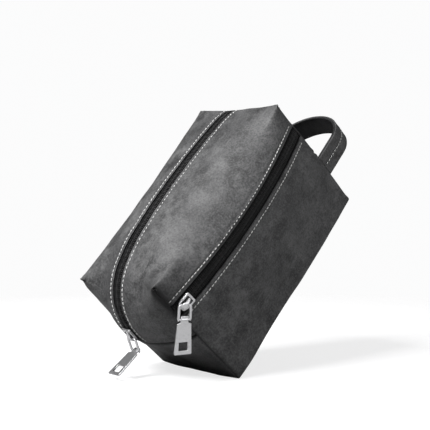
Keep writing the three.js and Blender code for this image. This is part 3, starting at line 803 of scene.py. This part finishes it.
# ---------------- zip tape and coil
def band(line_maker, side, outer, gap):
    """A strip of tape beside the zip, at a depth below the skin, that stops short of the ends."""
    across, rows = 9, 150
    tracks = [Track(*line_maker(side * o)) for o in np.linspace(TAPE_INNER, outer, across)]
    verts = []
    for k in range(rows + 1):
        places = [tr.at(gap + (tr.length - gap - gap) * k / rows) for tr in tracks]
        verts.extend((p - n * TAPE_TOP) * MM for p, _, n, _ in places)
        verts.extend((p - n * TAPE_BOTTOM) * MM for p, _, n, _ in places[::-1])
    return verts, loft_faces(0, rows, 2 * across)


def fix_normals(obj):
    bm = bmesh.new()
    bm.from_mesh(obj.data)
    bmesh.ops.recalc_face_normals(bm, faces=bm.faces)
    bm.to_mesh(obj.data)
    bm.free()


def coil(track, side, wide):
    """One half of a coil zip: a loop of nylon at each step, its head reaching past the middle."""
    verts, faces = [], []
    count = int((track.length - COIL_GAP - COIL_GAP) / COIL_PITCH)
    for k in range(count):
        p, t, n, c = track.at(COIL_GAP + k * COIL_PITCH + (COIL_PITCH / 2 if side > 0 else 0))
        path, radii = [], []
        for q in np.linspace(0, 1, 9):
            x = -0.9 + wide * q
            h = -1.25 + 1.15 * math.sin(math.pi * min(1.0, 0.18 + 0.82 * q) ** 0.8)
            path.append(p + c * (side * x) + n * (h - 0.25) + t * (0.22 * (q - 0.5)))
            radii.append(0.62 + 0.16 * bell(q - 0.04, 0.1))
        tube(verts, faces, path, radii, 7, up=t)
    # the sewing cord that holds the loops, in short hops
    for k in range(count):
        s = COIL_GAP + (k + 0.5) * COIL_PITCH
        path = []
        for q in np.linspace(-0.75, 0.75, 5):
            p, _, n, c = track.at(s + q * COIL_PITCH / 1.5)
            path.append(p + c * (side * (0.35 * wide + 0.9)) + n * (0.05 - 0.5 * q * q))
        tube(verts, faces, path, [0.24] * 5, 6, up=n)
    return verts, faces


# name, line, halves and their sides, tape's gap at the ends and half width, coil's width
ZIPS = [
    ("left", left_line, (("outer", 1), ("inner", -1)), 1.0, 12.3, 5.6),
    ("right", right_line, (("upper", 1), ("lower", -1)), 1.5, 14.8, 6.6),
]
for name, maker, halves, gap, tape_half, wide in ZIPS:
    middle = Track(*maker(0.0))
    probe = Track(*maker(2.0))
    p, _, _, c = middle.at(middle.length / 2)
    toward = np.sign(np.dot(probe.at(probe.length / 2)[0] - p, c))
    for label, side in halves:
        verts, faces = band(maker, side, tape_half, gap)
        tape = make_object(f"{name}_tape_{label}", verts, faces, "bag", tape_cloth)
        fix_normals(tape)
        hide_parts(f"{name}_zip_tape_{label}")
        verts, faces = coil(middle, side * toward, wide)
        teeth = make_object(f"{name}_coil_{label}", verts, faces, "bag", coil_nylon)
        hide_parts(f"{name}_zip_coil_{label}")


# ---------------- sliders
def left_place(angle):
    """Maps (along, across, off the skin) in mm, from an angle on the left zip's arc, to the bag."""
    def at(s, t, h):
        turn = angle + s / LEFT_ARC_R
        out = LEFT_ARC_R + h
        return (LEFT_ARC_X - out * math.cos(turn), LEFT_Y + t, LEFT_ARC_Z + out * math.sin(turn))

    return at


def right_place(angle):
    """The same as left_place, for the right zip."""
    def at(s, t, h):
        turn = angle + s / RIGHT_ARC_R
        out = RIGHT_ARC_R + h
        return (out * math.sin(turn), RIGHT_ARC_Y - out * math.cos(turn), RIGHT_Z + t)

    return at


def prism(bm, outline, low, high):
    lower = [bm.verts.new((x, y, low)) for x, y in outline]
    upper = [bm.verts.new((x, y, high)) for x, y in outline]
    bm.faces.new(lower[::-1])
    bm.faces.new(upper)
    n = len(outline)
    for k in range(n):
        bm.faces.new((lower[k], lower[(k + 1) % n], upper[(k + 1) % n], upper[k]))


def loft(bm, rings):
    """Walls between rings of vertices, and a cap on the first ring and the last."""
    m = len(rings[0])
    for a, b in zip(rings, rings[1:]):
        for k in range(m):
            bm.faces.new((a[k], a[(k + 1) % m], b[(k + 1) % m], b[k]))
    bm.faces.new(rings[0][::-1])
    bm.faces.new(rings[-1])


def rod(radius, length, segments, centre=(0, 0, 0)):
    """A round bar along x."""
    bm = bmesh.new()
    turned = Matrix.Translation(centre) @ Matrix.Rotation(math.pi / 2, 4, "Y")
    bmesh.ops.create_cone(bm, cap_ends=True, segments=segments, radius1=radius, radius2=radius,
                          depth=length, matrix=turned)
    return bm


def bevelled(bm, width):
    """Rounds every edge sharper than about 34 degrees."""
    bmesh.ops.recalc_face_normals(bm, faces=bm.faces)
    sharp = [e for e in bm.edges if len(e.link_faces) == 2 and e.calc_face_angle(0) > 0.6]
    bmesh.ops.bevel(bm, geom=sharp, offset=width, segments=3, profile=0.6, affect="EDGES",
                    clamp_overlap=True)


def bm_object(name, bm, place, body, finish=nickel):
    """A metal piece from a bmesh in mm, moved into the bag's frame by place."""
    bmesh.ops.recalc_face_normals(bm, faces=bm.faces)
    for v in bm.verts:
        v.co = Vector(place(*v.co)) * MM
    bmesh.ops.recalc_face_normals(bm, faces=bm.faces)
    mesh = bpy.data.meshes.new(name)
    bm.to_mesh(mesh)
    bm.free()
    mesh.polygons.foreach_set("use_smooth", [True] * len(mesh.polygons))
    obj = bpy.data.objects.new(name, mesh)
    bpy.context.scene.collection.objects.link(obj)
    mesh.materials.append(finish)
    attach(obj, body)
    mod = obj.modifiers.new("edges", "WEIGHTED_NORMAL")
    mod.keep_sharp = True
    return obj


# the link's bar under the bridge: its height over the skin, and how far back it sits
BAR_H = 3.85
BRIDGE_BACK = 2.5
LINK_DROP = 14.0

CROWN_EDGE = [(-7.6, -3.6), (-5.4, -5.3), (-1.0, -6.2), (6.6, -6.3), (8.2, -5.4),
              (8.2, 5.4), (6.6, 6.3), (-1.0, 6.2), (-5.4, 5.3), (-7.6, 3.6)]
FRAME_INSIDE = [(-6.6, -2.6), (-4.6, -3.6), (-0.6, -4.2), (5.2, -4.3), (6.0, -3.9),
                (6.0, 3.9), (5.2, 4.3), (-0.6, 4.2), (-4.6, 3.6), (-6.6, 2.6)]
BRIDGE_SECTION = [(-1, 0), (1, 0), (1, 0.45), (0.86, 0.75), (0.5, 0.95), (0, 1.0),
                  (-0.5, 0.95), (-0.86, 0.75), (-1, 0.45)]


def slider(label, place, body):
    """A zip slider: plates above and below the coil, a raised frame, a bridge for the link."""
    # the crown plate is the near-black metal: painted shade in the recess
    crown = bmesh.new()
    prism(crown, CROWN_EDGE, 0.7, 1.3)
    bevelled(crown, 0.2)
    obj = bm_object(f"{label}_crown", crown, place, body, nickel_painted_shade)
    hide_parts(f"{label}_slider")
    # the raised frame round the far end and both sides
    rim = bmesh.new()
    rings = (CROWN_EDGE, FRAME_INSIDE)
    low = [[rim.verts.new((x, y, 1.0)) for x, y in ring] for ring in rings]
    high = [[rim.verts.new((x, y, 3.3 if x > -3 else 2.6)) for x, y in ring] for ring in rings]
    last = len(CROWN_EDGE) - 1
    for k in range(last):
        for quad in ((high[0][k], high[0][k + 1], high[1][k + 1], high[1][k]),
                     (low[1][k], low[1][k + 1], low[0][k + 1], low[0][k]),
                     (low[0][k], low[0][k + 1], high[0][k + 1], high[0][k]),
                     (low[1][k + 1], low[1][k], high[1][k], high[1][k + 1])):
            rim.faces.new(quad)
    for k in (0, last):
        rim.faces.new((low[0][k], high[0][k], high[1][k], low[1][k]))
    bevelled(rim, 0.35)
    bm_object(f"{label}_frame", rim, place, body)
    under = bmesh.new()
    prism(under, [(x * 0.95, y * 0.9) for x, y in CROWN_EDGE], -4.3, -3.3)
    bevelled(under, 0.3)
    bm_object(f"{label}_under", under, place, body)
    post = bmesh.new()
    prism(post, [(-6.8, -0.5), (-2.5, -0.5), (-2.5, 0.5), (-6.8, 0.5)], -3.6, 1.0)
    bm_object(f"{label}_post", post, place, body)
    # the bridge: a tongue that starts narrow at the far end and widens to a domed nose
    arch = bmesh.new()
    rings = []
    for q in np.linspace(0, 1, 19):
        s = 5.6 - 13.4 * q
        top = 2.2 + 4.4 * math.sin(math.pi * min(1.0, 0.04 + 0.96 * q)) ** 0.6
        inside = max(0.0, 1 - ((s + BRIDGE_BACK) / 3.7) ** 2)
        under_h = 1.4 + 3.7 * inside**0.35
        thick = max(top, under_h + 0.5) - under_h
        half = float(1.3 + 2.1 * smooth(q, 0.15, 0.75) - 0.5 * smooth(q, 0.85, 1.0))
        ring = [(s, half * x, under_h + thick * y) for x, y in BRIDGE_SECTION]
        rings.append([arch.verts.new(co) for co in ring])
    loft(arch, rings)
    bm_object(f"{label}_bridge", arch, place, body)


LEFT_REST = math.radians(1.5)
RIGHT_REST = -math.asin(HALF_L * 0.885 / RIGHT_ARC_R)
left_at, right_at = left_place(LEFT_REST), right_place(RIGHT_REST)
slider("left", left_at, "left_slider_body")
slider("right", right_at, "right_slider_body")


def hanging(point, down, bar):
    """Maps a pull's own x (along its bar), y and z (up) to the bag, from the point it hangs on."""
    z = -Vector(down).normalized()
    x = Vector(bar) - z * Vector(bar).dot(z)
    x.normalize()
    y = z.cross(x)
    m = Matrix((x, y, z)).transposed()
    origin = Vector(point)

    def at(a, b, c):
        return origin + m @ Vector((a, b, c))

    return at


def link(label, place, body):
    """A wire loop: the top bar goes under the bridge, two flat legs come down to the pin."""
    half, low, r, around = 6.3, -15.5, 2.6, 12

    def bend(side, first, last):
        turns = [math.radians(a) for a in range(first, last + 1, 15)]
        return [(side * (half - r) + r * math.cos(a), -r + r * math.sin(a), a) for a in turns]

    line = [(half, z, 0.0) for z in np.linspace(low, -r - 0.5, 6)]
    line += bend(1, 0, 90) + bend(-1, 90, 180)
    line += [(-half, z, math.pi) for z in np.linspace(-r - 0.5, low, 6)]
    bm = bmesh.new()
    rings = []
    for k, (x, z, a) in enumerate(line):
        end = 0.45 if k in (0, len(line) - 1) else 1.0
        ring = []
        for j in range(around):
            q = 2 * math.pi * j / around
            ca, sb = math.cos(q), math.sin(q)
            ca = math.copysign(abs(ca) ** 0.6, ca) * (1.35 if abs(x) > 5.5 else 1.1) * end
            sb = math.copysign(abs(sb) ** 0.6, sb) * 0.95 * end
            ring.append(bm.verts.new((x + ca * math.cos(a), sb, z + ca * math.sin(a))))
        rings.append(ring)
    loft(bm, rings)
    obj = bm_object(f"{label}_loop", bm, place, body)
    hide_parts(f"{label}_link")
    pin = rod(0.95, 12.4, 20, (0, 0, -LINK_DROP))
    bevelled(pin, 0.2)
    bm_object(f"{label}_pin", pin, place, body)


def tab(label, place, body):
    """A flat pull: rolled neck, notched shoulders, sides that widen to a windowed end."""
    neck, top, end = 3.7, 7.15, 8.9
    half = [(neck, 3.0), (neck, -1.6)]
    for k in range(1, 7):
        a = math.radians(180 + k * 15)
        half.append((6.1 + 2.4 * math.cos(a), -1.9 + 2.1 * math.sin(a)))
    half += [(top - 0.1, -4.3), (top, -4.9), (top + 0.35, -12), (end, -32.8), (end - 0.4, -33.5)]
    outline = half + [(-x, y) for x, y in half[::-1]]
    w2, lo, hi = 5.4, -30.5, -21.4
    window = [(-w2, lo), (w2, lo), (w2, hi), (-w2, hi)]
    curve = bpy.data.curves.new(f"{label}_tab_shape", "CURVE")
    curve.dimensions = "2D"
    curve.fill_mode = "BOTH"
    curve.extrude = 0.55
    curve.bevel_depth = 0.35
    curve.bevel_resolution = 3
    for pts in (outline, window):
        sp = curve.splines.new("POLY")
        sp.points.add(len(pts) - 1)
        for p, (x, y) in zip(sp.points, pts):
            p.co = (x, y, 0, 1)
        sp.use_cyclic_u = True
    temp = bpy.data.objects.new("tab_temp", curve)
    bpy.context.scene.collection.objects.link(temp)
    bpy.context.view_layer.update()
    solved = temp.evaluated_get(bpy.context.evaluated_depsgraph_get())
    mesh = bpy.data.meshes.new_from_object(solved)
    bpy.data.objects.remove(temp)
    bm = bmesh.new()
    bm.from_mesh(mesh)
    bpy.data.meshes.remove(mesh)
    bmesh.ops.remove_doubles(bm, verts=bm.verts, dist=0.0005)
    for v in bm.verts:
        x, y, z = v.co
        v.co = (x, -z, y)
    obj = bm_object(f"{label}_plate", bm, place, body)
    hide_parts(f"{label}_tab")
    roll = rod(1.75, 7.0, 28)
    bevelled(roll, 0.4)
    bm_object(f"{label}_neck", roll, place, body)


left_pin = Vector(left_at(-BRIDGE_BACK, 0, BAR_H))
left_down = Vector((-0.44, 0, -0.9)).normalized()
left_bar = Vector((0, 1, 0))
link("left", hanging(left_pin, left_down, left_bar), "left_link_body")
left_eye = left_pin + left_down * LINK_DROP
tab("left", hanging(left_eye, Vector((-0.985, 0, 0.17)), left_bar), "left_tab_body")

right_pin = Vector(right_at(-BRIDGE_BACK, 0, BAR_H))
off = (Vector(right_at(-BRIDGE_BACK, 0, BAR_H + 1)) - right_pin).normalized()
slant = Vector((-0.743, 0, -0.67))
slant = (slant - off * slant.dot(off)).normalized()
lean = math.radians(4)
right_down = slant * math.cos(lean) + off * math.sin(lean)
right_bar = off.cross(right_down).normalized()
link("right", hanging(right_pin, right_down, right_bar), "right_link_body")
right_eye = right_pin + right_down * LINK_DROP
tab("right", hanging(right_eye, right_down, right_bar), "right_tab_body")

# ---------------- handle
HANDLE_Z, HANDLE_HIGH, LAYER, LAYER_GAP = 50.0, 24.0, 1.7, 0.15
HANDLE_REACH = 66.0
start_x, half_y = HALF_L + 2.2, HALF_W - 5.5
tip_x = start_x + HANDLE_REACH
HANDLE = [
    (start_x, -half_y), (start_x + 20, -half_y + 0.5), (start_x + 40, -half_y + 2.5),
    (tip_x - 9, -half_y * 0.74), (tip_x - 1.5, -half_y * 0.42), (tip_x - 1, -half_y * 0.05),
    (tip_x - 7, half_y * 0.26), (tip_x - 20, half_y * 0.58), (start_x + 24, half_y * 0.86),
    (start_x, half_y),
]


def catmull(points, per=16):
    """A centripetal curve through the points, with this many steps from one to the next."""
    p = [np.array(q, float) for q in points]
    p = [2 * p[0] - p[1]] + p + [2 * p[-1] - p[-2]]
    out = []
    for k in range(1, len(p) - 2):
        a, b, c, d = p[k - 1 : k + 3]
        t0 = 0.0
        t1 = t0 + max(np.linalg.norm(b - a) ** 0.5, 1e-6)
        t2 = t1 + max(np.linalg.norm(c - b) ** 0.5, 1e-6)
        t3 = t2 + max(np.linalg.norm(d - c) ** 0.5, 1e-6)
        for t in np.linspace(t1, t2, per, endpoint=k == len(p) - 3):
            a1 = (t1 - t) / (t1 - t0) * a + (t - t0) / (t1 - t0) * b
            a2 = (t2 - t) / (t2 - t1) * b + (t - t1) / (t2 - t1) * c
            a3 = (t3 - t) / (t3 - t2) * c + (t - t2) / (t3 - t2) * d
            b1 = (t2 - t) / (t2 - t0) * a1 + (t - t0) / (t2 - t0) * a2
            b2 = (t3 - t) / (t3 - t1) * a2 + (t - t1) / (t3 - t1) * a3
            out.append((t2 - t) / (t2 - t1) * b1 + (t - t1) / (t2 - t1) * b2)
    return np.array(out)


loop = catmull(HANDLE)
loop3 = np.column_stack([loop, np.full(len(loop), HANDLE_Z)])
tang = np.gradient(loop3, axis=0)
tang /= np.linalg.norm(tang, axis=1, keepdims=True)
outn = np.column_stack([tang[:, 1], -tang[:, 0], np.zeros(len(loop))])
handle_track = Track(loop3, outn)


def strap_layer(name, node, inner, outer, finish, groove):
    """One leather layer of the handle, with rounded edges and a sunk line under the stitches."""
    half, r = HANDLE_HIGH / 2, 0.7
    profile = []
    for k in range(6):
        a = math.radians(-90 + 18 * k)
        profile.append((outer - r + r * math.cos(a), -half + r + r * math.sin(a)))
    for z in (-8, -4, -2.2, -1.4, -0.8, -0.3, 0.3, 0.8, 1.4, 2.2, 4, 8):
        profile.append((outer - groove * (0.55 * bell(z, 0.8) - 0.25 * bell(abs(z) - 2.1, 1.0)), z))
    for k in range(6):
        a = math.radians(18 * k)
        profile.append((outer - r + r * math.cos(a), half - r + r * math.sin(a)))
    profile += [(inner, half - 0.2), (inner, -half + 0.2)]
    verts, rows = [], 150
    for k in range(rows + 1):
        s = handle_track.length * k / rows
        p, _, n, _ = handle_track.at(s)
        wave = 0.35 * noise.noise(Vector((s / 26, 4.4, 0.7)))
        for o, z in profile:
            q = p + n * (o + wave)
            verts.append((q[0] * MM, q[1] * MM, (HANDLE_Z + z) * MM))
    faces = loft_faces(0, rows, len(profile))
    obj = make_object(name, verts, faces, "bag", finish)
    fix_normals(obj)
    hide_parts(node)


top = LAYER_GAP + LAYER
strap_layer("handle_outer", "handle_outer_layer", LAYER_GAP, top, leather, 1.0)
# the inner layer takes the darker copy of the hide: painted shade
strap_layer("handle_inner", "handle_inner_layer", -LAYER_GAP, -top, leather_inside, 0.0)
raised = Track(loop3 + outn * top, outn)
verts, faces = stitches(raised, 4.0, sink=0.5, slant=0.1)
row = make_object("handle_seam", verts, faces, "bag", thread_wax)
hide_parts("handle_stitches")

# ---------------- floor, light, camera
# the bag leans on its near lower edge, so the floor is tilted in the bag's frame
FLOOR_N = Vector((0.743, 0, 0.670)).normalized()
FLOOR_HALF = 2.2
FADE_START, FADE_END = 0.32, 0.75
floor_at = Vector((-0.1185, 0, 0.0)) - FLOOR_N * 0.0005
side = Vector((0, 1, 0)) * FLOOR_HALF
run = side.cross(FLOOR_N).normalized() * FLOOR_HALF
fm = bpy.data.meshes.new("floor")
corners = [floor_at + side * a + run * b for a, b in ((-1, -1), (1, -1), (1, 1), (-1, 1))]
fm.from_pydata([tuple(c) for c in corners], [], [(0, 1, 2, 3)])
fm.update()
if fm.polygons[0].normal.dot(FLOOR_N) < 0:
    fm.flip_normals()
floor = bpy.data.objects.new("floor", fm)
bpy.context.scene.collection.objects.link(floor)

mat = bpy.data.materials.new("paper")
mat.use_nodes = True
tree = mat.node_tree
bsdf = next(n for n in tree.nodes if n.type == "BSDF_PRINCIPLED")
out = next(n for n in tree.nodes if n.type == "OUTPUT_MATERIAL")
bsdf.inputs["Base Color"].default_value = (0.34, 0.34, 0.342, 1)
bsdf.inputs["Roughness"].default_value = 0.9
bsdf.inputs["Specular IOR Level"].default_value = 0.1
glow = tree.nodes.new("ShaderNodeEmission")
glow.inputs["Color"].default_value = (0.74, 0.74, 0.742, 1)
clear = tree.nodes.new("ShaderNodeBsdfTransparent")
geo = tree.nodes.new("ShaderNodeNewGeometry")
path = tree.nodes.new("ShaderNodeLightPath")
tc = tree.nodes.new("ShaderNodeTexCoord")
dist = tree.nodes.new("ShaderNodeVectorMath")
dist.operation = "DISTANCE"
dist.inputs[1].default_value = tuple(floor_at)
tree.links.new(tc.outputs["Object"], dist.inputs[0])
fade = ramp(tree, dist.outputs["Value"], FADE_START, FADE_END)
hide = math_node(tree, "MAXIMUM", geo.outputs["Backfacing"], fade)
lift = tree.nodes.new("ShaderNodeAddShader")
pick = tree.nodes.new("ShaderNodeMixShader")
blend = tree.nodes.new("ShaderNodeMixShader")
wire(
    tree,
    (bsdf.outputs[0], lift.inputs[0]),
    (glow.outputs[0], lift.inputs[1]),
    (path.outputs["Is Camera Ray"], pick.inputs[0]),
    (bsdf.outputs[0], pick.inputs[1]),
    (lift.outputs[0], pick.inputs[2]),
    (hide, blend.inputs[0]),
    (pick.outputs[0], blend.inputs[1]),
    (clear.outputs[0], blend.inputs[2]),
    (blend.outputs[0], out.inputs["Surface"]),
)
fm.materials.append(mat)

# the world: one even light, another for reflections that is brighter on the right, a white ground
world = bpy.data.worlds.new("studio")
bpy.context.scene.world = world
world.use_nodes = True
wb = next(n for n in world.node_tree.nodes if n.type == "BACKGROUND")
wb.inputs["Color"].default_value = (1, 1, 1, 1)
wb.inputs["Strength"].default_value = 0.19
wt = world.node_tree
seen = wt.nodes.new("ShaderNodeBackground")
seen.inputs["Color"].default_value = (0.97, 0.97, 0.972, 1)
shine = wt.nodes.new("ShaderNodeBackground")
toward = wt.nodes.new("ShaderNodeTexCoord")
split = wt.nodes.new("ShaderNodeSeparateXYZ")
wt.links.new(toward.outputs["Generated"], split.inputs[0])
front = ramp(wt, split.outputs["Y"], -0.25, 0.25, 1.0, 0.0)
mirrored = mix_colour(wt, front, (0.05, 0.05, 0.051, 1), (0.72, 0.72, 0.73, 1))
path = wt.nodes.new("ShaderNodeLightPath")
first, second = wt.nodes.new("ShaderNodeMixShader"), wt.nodes.new("ShaderNodeMixShader")
wout = next(n for n in wt.nodes if n.type == "OUTPUT_WORLD")
wire(
    wt,
    (mirrored, shine.inputs["Color"]),
    (path.outputs["Is Glossy Ray"], first.inputs[0]),
    (wb.outputs[0], first.inputs[1]),
    (shine.outputs[0], first.inputs[2]),
    (path.outputs["Is Camera Ray"], second.inputs[0]),
    (first.outputs[0], second.inputs[1]),
    (seen.outputs[0], second.inputs[2]),
    (second.outputs[0], wout.inputs["Surface"]),
)

# camera: its right and forward directions in the bag's frame, forward being kept as it is
SENSOR = 36.0
cam_right = Vector((0.5153, -0.6398, -0.5707))
cam_fwd = Vector((0.4046, 0.7682, -0.4961))
cam_right = (cam_right - cam_fwd * cam_right.dot(cam_fwd) / cam_fwd.length_squared).normalized()
cam_fwd.normalize()
cam_up = cam_right.cross(cam_fwd).normalized()
cam_data = bpy.data.cameras.new("camera")
cam_data.lens = 1000 / 430 * SENSOR
cam_data.sensor_width = SENSOR
cam_data.clip_start = 0.05
cam_data.clip_end = 20
cam = bpy.data.objects.new("camera", cam_data)
bpy.context.scene.collection.objects.link(cam)
m = Matrix((cam_right, cam_up, -cam_fwd)).transposed().to_4x4()
m.translation = Vector((-0.41204, -0.80915, 0.61574))
cam.matrix_world = m
bpy.context.scene.camera = cam


LIGHT_AIM = Vector((0, 0, 0.07))
LIGHT_DISTANCE = 1.3


def softbox(name, direction, size, power):
    """A square light at one distance from the bag, facing it."""
    light = bpy.data.lights.new(name, "AREA")
    light.shape = "SQUARE"
    light.size = size
    light.energy = power
    obj = bpy.data.objects.new(name, light)
    bpy.context.scene.collection.objects.link(obj)
    d = Vector(direction).normalized()
    obj.location = LIGHT_AIM + d * LIGHT_DISTANCE
    obj.rotation_euler = (-d).to_track_quat("-Z", "Y").to_euler()


softbox("key", -cam_right * 0.6 + cam_up * 0.8 - cam_fwd * 0.5, 0.6, 38.5)
softbox("fill", (0.35, -1.0, 0.2), 0.9, 4.5)
bpy.context.scene.view_settings.view_transform = "Standard"
